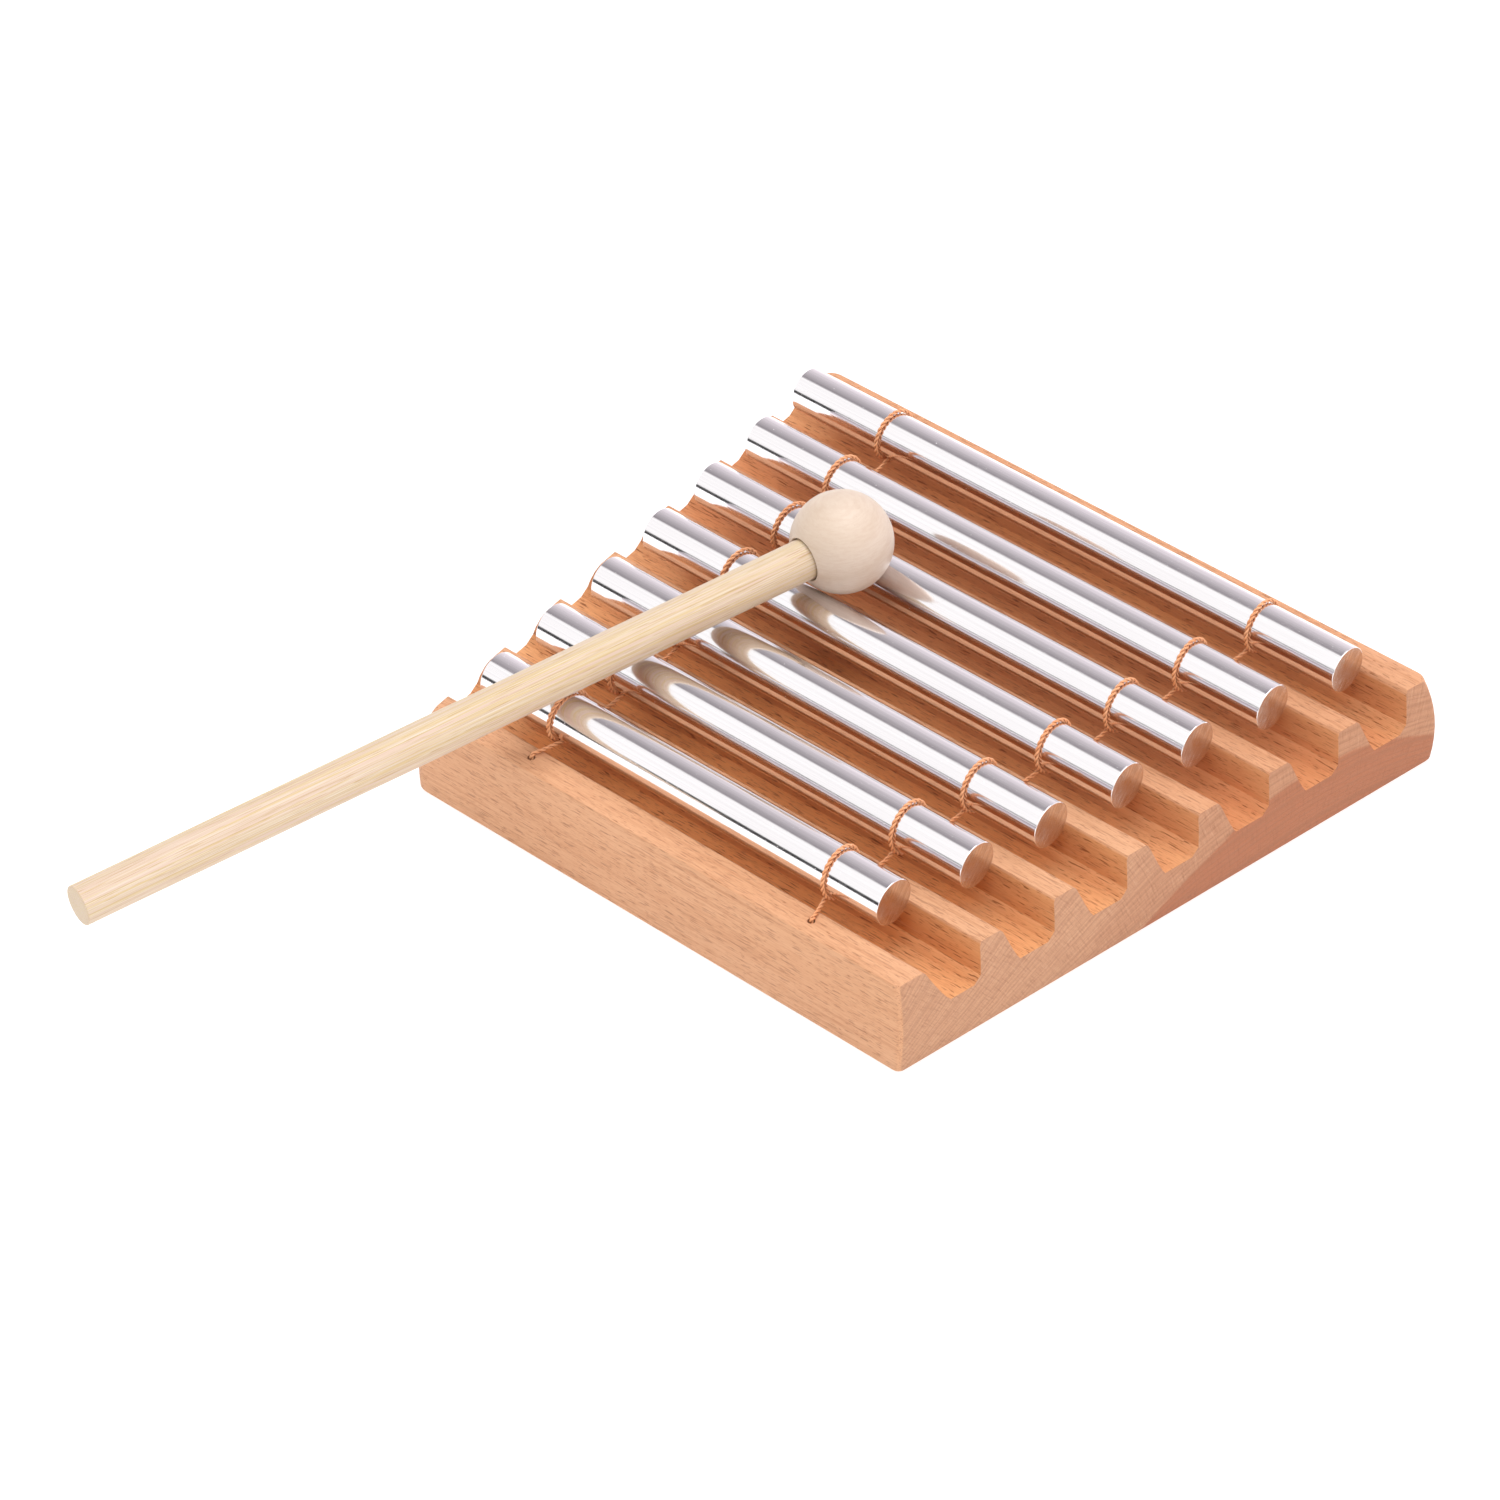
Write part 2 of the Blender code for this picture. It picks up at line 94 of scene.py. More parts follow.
# Painted shade in the creases between plies, in parts of the cord's radius: where it starts, and
# how soon inside that it is full
HOLLOW_SHADE_START = 0.8
HOLLOW_SHADE_DEPTH = 0.3

KNOT_STRAND_RADIUS = 0.42 * MM
KNOT_STEPS = 96
KNOT_SIDES = 12
KNOT_REACH = 3.0
KNOT_TURNED = 0.985
KNOT_WAVE = 1.4

# Edges sharper than these are drawn sharp
SHARP_TURNED = math.radians(30.0)
SHARP_BLOCK = math.radians(35.0)
SHARP_BALL = math.radians(40.0)
SHARP_CORD = math.radians(80.0)

EDGE_STEPS = 4
BLOCK_WELD = 0.005 * MM
BLOCK_FLAT = math.radians(0.6)
BLOCK_EDGE = 0.22 * MM
ROD_SIDES = 128
ROD_EDGE = 0.15 * MM
ROD_FACE_MARGIN = 0.02 * MM
ROD_RING_GAP = 0.03 * MM
ROD_END_BAND = 3.0 * MM
# A rod's faces count as its cut end when their normal lies this much along it
SAWN_FACE_UPRIGHT = 0.95
# The pole of a turned shape is a tiny flat, so that no two of its points coincide
POLE_PART = 0.02
STICK_SIDES = 96
STICK_STEPS = 60
STICK_EDGE = 0.3 * MM
STICK_WAVE = 0.02 * MM
STICK_WAVE_LENGTH = 7.0 * MM
BALL_SIDES = 96
BALL_STEPS = 44
BALL_INSET = 0.03 * MM
BALL_RING_DEPTH = 0.02 * MM
BALL_RINGS = 60.0
BALL_POLE_PART = 0.004
BORE_CLEARANCE = 0.2 * MM
BORE_LIP = 0.35 * MM
BORE_END_GAP = 0.3 * MM

# Places in the beech, in millimetres. The heart is an arch on the end grain: its middle, its
# top there, and how fast it falls away to each side.
HEART_Y = 36.0
HEART_HEIGHT = 17.0
HEART_SPREAD = 124.0
GROWTH_CURVE = 0.00425
# Milled wood, where the grooves are: below these heights and within these distances of their
# middle. Each pair is where it starts and where it is full.
MILLED_TOP = (21.7, 21.2)
MILLED_MIDDLE_Y = -1.4
MILLED_HALF_DEPTH = (68.2, 67.4)
# Half a bar's length where y is 0, and what each millimetre of y adds to it
BAR_HALF_LENGTH = 63.9
BAR_HALF_GROWTH = 0.176

FLOOR_HALF_SIZE = 4.0
FLOOR_GLOW = 0.65
# Light. The panel's angles are degrees from the zenith down towards the front, and the
# softbox's places are parts of a unit direction.
PANEL_EDGE = (-3.0, 7.0)
PANEL_FOOT = (73.0, 79.0)
PANEL_STRENGTH = 1.1
PANEL_FALL = -1.04
SURROUND_STRENGTH = 0.30
SURROUND_SLOPE = -0.0085
SOFTBOX_STRENGTH = 3.05
SOFTBOX_HALF_WIDTH = (0.38, 0.28)
SOFTBOX_HALF_DEPTH = (0.5, 0.4)
SOFTBOX_MIDDLE_Y = 0.1
# A weaker light from the right, on the end grain and the bars' cut ends
FILL_STRENGTH = 0.6


# ---------------------------------------------------------------- node trees


class Graph:
    """Short calls that add nodes to one node tree."""

    def __init__(self, tree):
        self.tree = tree

    def add(self, kind, inputs, output=0, **settings):
        """Add a node, set or link its inputs, and return one of its outputs."""
        node = self.tree.nodes.new(kind)
        for key, value in settings.items():
            setattr(node, key, value)
        for key, value in inputs.items():
            if isinstance(value, bpy.types.NodeSocket):
                self.tree.links.new(value, node.inputs[key])
            else:
                node.inputs[key].default_value = value
        return node.outputs[output]

    def math(self, operation, *values):
        return self.add("ShaderNodeMath", dict(enumerate(values)), operation=operation)

    def vector(self, operation, *values):
        return self.add("ShaderNodeVectorMath", dict(enumerate(values)), operation=operation)

    def scaled(self, vector, factors):
        return self.vector("MULTIPLY", vector, factors)

    def noise(self, vector, detail=2.0, roughness=0.5):
        inputs = {"Vector": vector, "Scale": 1.0, "Detail": detail, "Roughness": roughness}
        return self.add("ShaderNodeTexNoise", inputs)

    def remap(self, value, low, high, new_low=0.0, new_high=1.0):
        """A soft step, from new_low at low to new_high at high."""
        inputs = {
            "Value": value,
            "From Min": low,
            "From Max": high,
            "To Min": new_low,
            "To Max": new_high,
        }
        return self.add("ShaderNodeMapRange", inputs, interpolation_type="SMOOTHSTEP")

    def mix(self, factor, first, second):
        inputs = {0: factor, 6: first, 7: second}
        return self.add("ShaderNodeMix", inputs, output=2, data_type="RGBA")

    def layered(self, base, *layers):
        """Lay colours over a base one by one, each with its own factor."""
        for factor, over in layers:
            base = self.mix(factor, base, over)
        return base

    def split(self, vector):
        node = self.tree.nodes.new("ShaderNodeSeparateXYZ")
        self.tree.links.new(vector, node.inputs[0])
        return node.outputs[0], node.outputs[1], node.outputs[2]

    def join(self, x, y, z):
        return self.add("ShaderNodeCombineXYZ", {0: x, 1: y, 2: z})

    def bump(self, height, distance, strength=1.0):
        inputs = {"Height": height, "Distance": distance, "Strength": strength}
        return self.add("ShaderNodeBump", inputs)

    def millimetres(self):
        """Place on the object, in its own axes and in millimetres."""
        place = self.add("ShaderNodeTexCoord", {}, output="Object")
        return self.scaled(place, (1000.0, 1000.0, 1000.0))


def colour(red, green, blue):
    return (red, green, blue, 1.0)


def new_material(name, roughness, metallic=0.0, specular=0.5):
    """A Principled material with its uniform values set, its graph and its shader."""
    material = bpy.data.materials.new(name)
    material.use_nodes = True
    shader = material.node_tree.nodes["Principled BSDF"]
    shader.inputs["Roughness"].default_value = roughness
    shader.inputs["Metallic"].default_value = metallic
    shader.inputs["Specular IOR Level"].default_value = specular
    return material, Graph(material.node_tree), shader


def feed(graph, shader, **sockets):
    """Link sockets to the shader's inputs, named with _ for a space."""
    for key, socket in sockets.items():
        graph.tree.links.new(socket, shader.inputs[key.replace("_", " ")])


def beech_material():
    """Steamed beech: short dark flecks, growth lines on the end grain, heartwood, and painted
    shade under the bars and on the groove walls.
    """
    material, graph, shader = new_material("beech", 0.55, specular=0.2)
    place = graph.millimetres()
    x, y, z = graph.split(place)
    wander = graph.noise(graph.scaled(place, (0.008, 0.05, 0.05)), detail=3.0)
    patch = graph.noise(graph.scaled(place, (0.012, 0.07, 0.07)), detail=3.0)

    # Growth lines arch over the heart of the tree, which lay below the block
    from_heart = graph.math("SUBTRACT", y, HEART_Y)
    squared = graph.math("MULTIPLY", from_heart, from_heart)
    growth = graph.math("MULTIPLY_ADD", squared, GROWTH_CURVE, z)
    growth = graph.math("MULTIPLY_ADD", wander, 2.4, growth)
    lean = graph.math("MULTIPLY", from_heart, z)
    across = graph.math("MULTIPLY_ADD", lean, -2.0 * GROWTH_CURVE, y)
    uneven = graph.noise(graph.join(graph.math("MULTIPLY", growth, 0.45), 0.0, 0.0), detail=2.0)
    phase = graph.math("MULTIPLY_ADD", uneven, 16.0, graph.math("MULTIPLY", growth, 4.2))
    wave = graph.math("MULTIPLY_ADD", graph.math("SINE", phase), 0.5, 0.5)
    line = graph.math("POWER", wave, 2.5)
    heart_top = graph.math("MULTIPLY_ADD", squared, -1.0 / HEART_SPREAD, HEART_HEIGHT)
    heart_depth = graph.math("SUBTRACT", graph.math("MULTIPLY_ADD", patch, 3.0, heart_top), z)
    heart = graph.remap(heart_depth, 1.1, 2.3)
    near_heart = graph.remap(heart_depth, -24.0, -4.0)

    facing_x, facing_y, _ = graph.split(graph.add("ShaderNodeTexCoord", {}, output="Normal"))
    end_grain = graph.remap(graph.math("ABSOLUTE", facing_x), 0.72, 0.86)
    along = graph.math("SUBTRACT", 1.0, end_grain)
    below_top = graph.remap(z, *MILLED_TOP)
    from_middle = graph.math("ABSOLUTE", graph.math("SUBTRACT", y, MILLED_MIDDLE_Y))
    inside = graph.remap(from_middle, *MILLED_HALF_DEPTH)
    milled = graph.math("MULTIPLY", below_top, inside)
    # Painted shade: the groove walls, which face the front, are drawn darker, most of all beneath
    # the bars
    wall_shade_mask = graph.math("MULTIPLY", graph.remap(facing_y, -0.5, -0.9), milled)
    # Painted shade: the wood beneath the bars, out to their ends, is drawn deeper and more
    # saturated in colour, where the bars shade it
    bar_end = graph.math("MULTIPLY_ADD", y, -BAR_HALF_GROWTH, -BAR_HALF_LENGTH)
    past_bar_end = graph.math("ADD", graph.math("ABSOLUTE", x), bar_end)
    bar_shade_span = graph.remap(past_bar_end, -1.0, -8.0)
    bar_shade = graph.math("MULTIPLY", graph.remap(z, 20.5, 17.5), bar_shade_span)
    bar_shade = graph.math("MULTIPLY", bar_shade, milled)
    wall_shade = graph.math("MULTIPLY", wall_shade_mask, graph.math("MULTIPLY_ADD", bar_shade, 0.6, 0.4))

    fleck_noise = graph.noise(graph.scaled(place, (0.29, 3.9, 3.9)), detail=0.6)
    fleck = graph.math("MULTIPLY", graph.remap(fleck_noise, 0.64, 0.71), along)
    short_noise = graph.noise(graph.scaled(place, (0.5, 4.8, 4.8)), detail=1.0)
    short_fleck = graph.math("MULTIPLY", graph.remap(short_noise, 0.62, 0.72), along)
    streak = graph.noise(graph.scaled(place, (0.03, 1.5, 1.5)), detail=4.0, roughness=0.65)
    fibre = graph.noise(graph.scaled(place, (0.3, 5.0, 5.0)), detail=2.0, roughness=0.6)

    patchy = graph.remap(patch, 0.3, 0.7)
    sanded = graph.mix(patchy, colour(0.70, 0.385, 0.222), colour(0.65, 0.34, 0.186))
    cut = graph.mix(patchy, colour(0.79, 0.41, 0.19), colour(0.71, 0.33, 0.142))
    # Painted shade beneath the bars: the cut colour made deeper and more saturated
    cut = graph.mix(bar_shade, cut, graph.scaled(cut, (1.08, 0.90, 0.72)))
    # Painted shade on the groove walls, in a dark red brown
    cut = graph.mix(wall_shade, cut, colour(0.43, 0.135, 0.038))
    wood = graph.mix(milled, sanded, cut)
    fleck_depth = graph.math("MULTIPLY_ADD", milled, 0.37, 0.38)
    wood = graph.layered(
        wood,
        (graph.math("MULTIPLY", near_heart, 0.35), colour(0.56, 0.235, 0.115)),
        (graph.math("MULTIPLY", heart, 0.7), colour(0.60, 0.235, 0.10)),
        (graph.remap(streak, 0.48, 0.75, 0.0, 0.5), colour(0.42, 0.17, 0.07)),
        (graph.remap(streak, 0.45, 0.25, 0.0, 0.3), colour(0.66, 0.36, 0.19)),
        (graph.remap(fibre, 0.4, 0.75, 0.0, 0.3), colour(0.42, 0.158, 0.068)),
        (graph.math("MULTIPLY", fleck, fleck_depth), colour(0.19, 0.052, 0.016)),
        (graph.math("MULTIPLY", short_fleck, 0.6), colour(0.28, 0.082, 0.026)),
    )

    # End grain: pores as dots, growth lines, and rays that cross them
    grain_place = graph.join(across, growth, 0.0)
    rays = graph.noise(graph.scaled(grain_place, (2.4, 0.22, 0.0)), detail=3.0, roughness=0.6)
    pores = graph.noise(graph.scaled(place, (1.0, 5.5, 5.5)), detail=3.0, roughness=0.7)
    layers = graph.noise(graph.scaled(grain_place, (0.16, 1.9, 0.0)), detail=3.0, roughness=0.6)
    sapwood = graph.mix(near_heart, colour(0.59, 0.325, 0.193), colour(0.53, 0.27, 0.155))
    end_wood = graph.mix(heart, sapwood, colour(0.43, 0.163, 0.083))
    outside_heart = graph.math("SUBTRACT", 1.0, heart)
    pale_rays = graph.math("MULTIPLY", graph.remap(rays, 0.45, 0.3, 0.0, 0.4), outside_heart)
    end_wood = graph.layered(
        end_wood,
        (graph.remap(layers, 0.35, 0.7, 0.0, 0.38), colour(0.385, 0.18, 0.103)),
        (graph.math("MULTIPLY", line, 0.3), colour(0.295, 0.135, 0.076)),
        (graph.remap(rays, 0.5, 0.72, 0.0, 0.42), colour(0.28, 0.117, 0.063)),
        (pale_rays, colour(0.61, 0.37, 0.235)),
        (graph.remap(pores, 0.52, 0.74, 0.0, 0.45), colour(0.225, 0.085, 0.045)),
    )
    wood = graph.mix(end_grain, wood, end_wood)

    dents = graph.math("MULTIPLY_ADD", line, -0.5, pores)
    dents = graph.math("MULTIPLY", dents, end_grain)
    relief = graph.math("MULTIPLY_ADD", fleck, -0.8, graph.math("MULTIPLY", fibre, 0.5))
    relief = graph.math("MULTIPLY_ADD", dents, 1.5, relief)
    roughness = graph.remap(fibre, 0.3, 0.7, 0.48, 0.62)
    roughness = graph.math("MULTIPLY_ADD", end_grain, 0.15, roughness)
    normal = graph.bump(relief, 0.09 * MM, 0.8)
    feed(graph, shader, Base_Color=wood, Roughness=roughness, Normal=normal)
    return material


def aluminium_material():
    """Polished drawn rod: fine lines along it, a few specks, and a slight unevenness."""
    material, graph, shader = new_material("bar_aluminium", 0.08, 1.0)
    place = graph.millimetres()
    drawn = graph.noise(graph.scaled(place, (0.02, 3.4, 3.4)), detail=3.0, roughness=0.6)
    waves = graph.noise(graph.scaled(place, (0.05, 0.22, 0.22)), detail=2.0)
    scuffs = graph.noise(graph.scaled(place, (0.35, 1.8, 1.8)), detail=4.0, roughness=0.7)
    speck_noise = graph.noise(graph.scaled(place, (1.6, 2.6, 2.6)), detail=1.0)
    specks = graph.remap(speck_noise, 0.765, 0.80)
    lines = graph.remap(drawn, 0.3, 0.7)
    tone = graph.mix(lines, colour(0.93, 0.905, 0.92), colour(0.87, 0.842, 0.86))
    roughness = graph.remap(scuffs, 0.4, 0.75, 0.09, 0.17)
    roughness = graph.math("MULTIPLY_ADD", specks, 0.5, roughness)
    relief = graph.math("MULTIPLY_ADD", waves, 2.0, graph.math("MULTIPLY", drawn, 0.3))
    relief = graph.math("ADD", relief, specks)
    normal = graph.bump(relief, 0.01 * MM, 0.5)
    feed(graph, shader, Base_Color=tone, Roughness=roughness, Normal=normal)
    return material


def sawn_end_material():
    """Bar ends as the saw and a quick rub on abrasive leave them, tinted brown as a painted
    reflection of the wood.
    """
    material, graph, shader = new_material("bar_sawn_end", 0.3, 1.0)
    place = graph.millimetres()
    _, y, z = graph.split(place)
    # The blade's curve: circles about a centre well outside the end face
    blade_y = graph.math("ADD", y, 34.0)
    blade_z = graph.math("ADD", z, -26.0)
    squared_y = graph.math("MULTIPLY", blade_y, blade_y)
    reach = graph.math("SQRT", graph.math("MULTIPLY_ADD", blade_z, blade_z, squared_y))
    sweep = graph.math("ARCTAN2", blade_z, blade_y)
    blade_place = graph.join(reach, sweep, 4.0)
    marks = graph.noise(graph.scaled(blade_place, (4.5, 6.0, 0.0)), detail=3.0, roughness=0.7)
    scratch_noise = graph.noise(graph.scaled(blade_place, (9.0, 9.0, 1.0)), detail=1.0)
    scratches = graph.remap(scratch_noise, 0.64, 0.70)
    blotches = graph.noise(graph.scaled(place, (0.1, 0.35, 0.35)), detail=3.0)
    marked = graph.remap(marks, 0.35, 0.7)
    # Painted reflection: the ends are tinted brown, as the wood around would look mirrored in
    # them; the saw marks are darker still
    tone = graph.mix(marked, colour(0.74, 0.62, 0.53), colour(0.50, 0.40, 0.33))
    tone = graph.mix(graph.math("MULTIPLY", scratches, 0.6), tone, colour(0.86, 0.84, 0.83))
    roughness = graph.remap(blotches, 0.35, 0.65, 0.2, 0.27)
    relief = graph.math("MULTIPLY_ADD", scratches, 0.5, marks)
    normal = graph.bump(relief, 0.014 * MM, 0.5)
    feed(graph, shader, Base_Color=tone, Roughness=roughness, Normal=normal)
    return material


def cord_material():
    """Waxed twisted cord: orange tan plies with fibres, and painted shade in the creases between
    them.
    """
    material, graph, shader = new_material("waxed_cord", 0.45)
    place = graph.millimetres()
    fibres = graph.noise(graph.scaled(place, (7.0, 7.0, 7.0)), detail=3.0, roughness=0.65)
    wear = graph.noise(graph.scaled(place, (0.25, 0.25, 0.25)), detail=2.0)
    hollow_shade = graph.add("ShaderNodeAttribute", {}, output="Fac", attribute_name="hollow_shade")
    tone = graph.layered(
        colour(0.88, 0.42, 0.20),
        (graph.remap(fibres, 0.3, 0.7), colour(0.66, 0.25, 0.095)),
        (graph.remap(wear, 0.35, 0.7, 0.0, 0.5), colour(0.86, 0.47, 0.25)),
        # Painted shade in the creases between the plies
        (graph.math("MULTIPLY", hollow_shade, 0.75), colour(0.36, 0.105, 0.035)),
    )
    feed(graph, shader, Base_Color=tone, Normal=graph.bump(fibres, 0.05 * MM, 0.7))
    return material


def bamboo_material():
    """Planed bamboo: straight fibre bundles along the stick, and their dots on its ends."""
    material, graph, shader = new_material("stick_bamboo", 0.42, specular=0.25)
    place = graph.millimetres()
    bundles = graph.noise(graph.scaled(place, (3.5, 3.5, 0.012)), detail=2.0, roughness=0.6)
    threads = graph.noise(graph.scaled(place, (7.5, 7.5, 0.03)), detail=2.0, roughness=0.6)
    bands = graph.noise(graph.scaled(place, (0.4, 0.4, 0.005)), detail=1.0)
    dashes = graph.noise(graph.scaled(place, (5.5, 5.5, 0.11)), detail=1.0)
    tone = graph.layered(
        colour(0.615, 0.485, 0.372),
        (graph.remap(bands, 0.4, 0.6), colour(0.615, 0.498, 0.357)),
        (graph.remap(bundles, 0.51, 0.56, 0.0, 0.75), colour(0.61, 0.46, 0.235)),
        (graph.remap(bundles, 0.47, 0.41, 0.0, 0.7), colour(0.63, 0.46, 0.38)),
        (graph.remap(threads, 0.55, 0.63, 0.0, 0.7), colour(0.50, 0.35, 0.19)),
        (graph.remap(threads, 0.45, 0.36, 0.0, 0.7), colour(0.69, 0.62, 0.52)),
        (graph.remap(dashes, 0.63, 0.70, 0.0, 0.7), colour(0.45, 0.28, 0.13)),
    )
    feed(graph, shader, Base_Color=tone, Normal=graph.bump(threads, 0.03 * MM, 0.6))
    return material


def ball_material():
    """Turned pale hardwood: very fine grain and the tool's faint rings."""
    material, graph, shader = new_material("head_wood", 0.42)
    place = graph.millimetres()
    _, y, z = graph.split(place)
    grain = graph.noise(graph.scaled(place, (0.5, 2.6, 0.5)), detail=4.0, roughness=0.6)
    year_wander = graph.noise(graph.scaled(place, (0.06, 0.06, 0.06)))
    years = graph.math("MULTIPLY_ADD", year_wander, 14.0, y)
    year_wave = graph.math("MULTIPLY_ADD", graph.math("SINE", years), 0.5, 0.5)
    year_line = graph.math("POWER", year_wave, 4.0)
    rings = graph.math("SINE", graph.math("MULTIPLY", z, 7.0))
    speck_noise = graph.noise(graph.scaled(place, (0.9, 4.0, 4.0)), detail=1.0)
    tone = graph.layered(
        colour(0.635, 0.52, 0.42),
        (graph.remap(grain, 0.35, 0.7), colour(0.60, 0.47, 0.37)),
        (graph.math("MULTIPLY", year_line, 0.22), colour(0.52, 0.38, 0.27)),
        (graph.remap(speck_noise, 0.66, 0.74, 0.0, 0.25), colour(0.47, 0.33, 0.22)),
    )
    relief = graph.math("MULTIPLY_ADD", rings, 0.25, grain)
    feed(graph, shader, Base_Color=tone, Normal=graph.bump(relief, 0.03 * MM, 0.5))
    return material


# ---------------------------------------------------------------- mesh helpers


def new_piece(name, vertices, faces, materials, smooth_angle):
    """A mesh object with smooth shading up to an angle."""
    mesh = bpy.data.meshes.new(name)
    mesh.from_pydata(vertices, [], faces)
    mesh.update()
    mesh.shade_smooth()
    mesh.set_sharp_from_angle(angle=smooth_angle)
    for material in materials:
        mesh.materials.append(material)
    piece = bpy.data.objects.new(name, mesh)
    bpy.context.scene.collection.objects.link(piece)
    return piece


def tube_faces(rings, sides, first=0):
    """Faces of a tube of rings, with a flat cap at each end."""
    faces = []
    for ring in range(rings - 1):
        for side in range(sides):
            near = first + ring * sides + side
            far = first + ring * sides + (side + 1) % sides
            faces.append((near, far, far + sides, near + sides))
    last = first + (rings - 1) * sides
    faces.append(tuple(range(first + sides - 1, first - 1, -1)))
    faces.append(tuple(range(last, last + sides)))
    return faces


def rounded_edge(radius, height, edge):
    """Profile points, from the end face outward, of a quarter round of a size."""
    points = []
    for step in range(1, EDGE_STEPS):
        angle = math.pi / 2.0 * step / EDGE_STEPS
        inset = edge * (1.0 - math.sin(angle))
        points.append((radius - inset, height + edge * (1.0 - math.cos(angle))))
    return points


def turned_piece(name, profile, sides, materials, smooth_angle=SHARP_TURNED):
    """Turn (radius, height) points about local Z, from the bottom up the outside."""
    vertices = []
    for radius, height in profile:
        for side in range(sides):
            angle = 2.0 * math.pi * side / sides
            vertices.append((radius * math.cos(angle), radius * math.sin(angle), height))
    faces = tube_faces(len(profile), sides)
    return new_piece(name, vertices, faces, materials, smooth_angle)


def frames_along(points):
    """Unit tangents, and a normal and binormal carried along without twisting."""
    tangents = np.gradient(points, axis=0)
    tangents /= np.linalg.norm(tangents, axis=1)[:, None]
    normals = np.zeros_like(points)
    helper = np.array((1.0, 0.0, 0.0)) if abs(tangents[0][0]) < 0.9 else np.array((0.0, 1.0, 0.0))
    normal = np.cross(tangents[0], helper)
    for index, tangent in enumerate(tangents):
        normal = normal - tangent * normal.dot(tangent)
        normal /= np.linalg.norm(normal)
        normals[index] = normal
    return tangents, normals, np.cross(tangents, normals)


def tube_mesh(points, radius, sides):
    """Vertices of a round tube along points."""
    _, normals, binormals = frames_along(points)
    angles = 2.0 * math.pi * np.arange(sides) / sides
    ring = np.cos(angles)[None, :, None] * normals[:, None, :]
    ring = ring + np.sin(angles)[None, :, None] * binormals[:, None, :]
    return (points[:, None, :] + ring * radius).reshape(-1, 3)


def reach_along(points):
    """How far along a line of points each one lies."""
    steps = np.linalg.norm(np.diff(points, axis=0), axis=1)
    return np.concatenate(([0.0], np.cumsum(steps)))


def resampled(points, step):
    """Points at even steps along a smooth curve (Catmull-Rom) through the given ones."""
    given = np.array(points, float)
    ends = np.vstack((2.0 * given[0] - given[1], given, 2.0 * given[-1] - given[-2]))
    fine = []
    for index in range(1, len(ends) - 2):
        before, start, end, after = ends[index - 1 : index + 3]
        slope = end - before
        bend = 2.0 * before - 5.0 * start + 4.0 * end - after
        twist = 3.0 * start - before - 3.0 * end + after
        for part in np.linspace(0.0, 1.0, CURVE_STEPS, endpoint=False):
            fine.append(0.5 * (2.0 * start + slope * part + bend * part**2 + twist * part**3))
    fine.append(given[-1])
    fine = np.array(fine)
    reach = reach_along(fine)
    wanted = np.linspace(0.0, reach[-1], int(reach[-1] / step) + 1)
    return np.stack([np.interp(wanted, reach, fine[:, axis]) for axis in range(3)], axis=1)


# ---------------------------------------------------------------- pieces


def build_block(material):
    """The frame's block with its sharp edges rubbed soft."""
    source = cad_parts["base"]
    mesh = source.data.copy()
    mesh.name = "beech_block"
    mesh.materials.clear()
    mesh.materials.append(material)
    shape = bmesh.new()
    shape.from_mesh(mesh)
    bmesh.ops.remove_doubles(shape, verts=shape.verts, dist=BLOCK_WELD)
    bmesh.ops.dissolve_limit(
        shape, angle_limit=BLOCK_FLAT, verts=shape.verts, edges=shape.edges
    )
    shape.to_mesh(mesh)
    shape.free()
    mesh.shade_smooth()
    mesh.set_sharp_from_angle(angle=SHARP_BLOCK)
    block = bpy.data.objects.new("beech_block", mesh)
    bpy.context.scene.collection.objects.link(block)
    soften = block.modifiers.new("Rubbed edges", "BEVEL")
    soften.width = BLOCK_EDGE
    soften.segments = 2
    soften.limit_method = "ANGLE"
    soften.angle_limit = SHARP_BLOCK
    soften.harden_normals = True
    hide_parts("base")
    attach(block, BASE_BODY)


def build_bars(materials):
    """Seven polished rods, turned finely enough for their reflections."""
    for node in BAR_NODES:
        low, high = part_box(node)
        half = (high.x - low.x) / 2.0
        radius = (high.z - low.z) / 2.0
        face_radius = radius - ROD_EDGE
        shoulder = ROD_EDGE - half
        profile = [(radius * POLE_PART, -half), (radius * 0.5, -half)]
        profile += [(face_radius - ROD_FACE_MARGIN, -half), (face_radius, -half)]
        profile += rounded_edge(radius, -half, ROD_EDGE)
        for past_shoulder in (0.0, ROD_RING_GAP, ROD_END_BAND):
            profile.append((radius, shoulder + past_shoulder))
        profile += [(ring_radius, -height) for ring_radius, height in reversed(profile)]
        bar = turned_piece("rod_" + node[-1], profile, ROD_SIDES, materials)
        for face in bar.data.polygons:
            if abs(face.normal.z) > SAWN_FACE_UPRIGHT:
                face.material_index = 1
        bar.data.transform(Matrix.Rotation(math.pi / 2.0, 4, "Y"))
        bar.location = (low + high) / 2.0
        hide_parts(node)
        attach(bar, node)


def loop_points(middle_x, centre, bar_radius, outward):
    """One turn of cord around a bar, in from the front and out under it to the back."""
    radius = bar_radius + CORD_TO_BAR_GAP + CORD_RADIUS
    middle_angle = (LOOP_FIRST_ANGLE + LOOP_LAST_ANGLE) / 2.0
    points = []
    for step in range(LOOP_STEPS + 1):
        angle = LOOP_FIRST_ANGLE + (LOOP_LAST_ANGLE - LOOP_FIRST_ANGLE) * step / LOOP_STEPS
        shift = LOOP_SHIFT_PER_TURN * (angle - middle_angle) / (2.0 * math.pi)
        across = centre.y + radius * math.cos(angle)
        height = centre.z + radius * math.sin(angle)
        points.append(Vector((middle_x + outward * shift, across, height)))
    return points


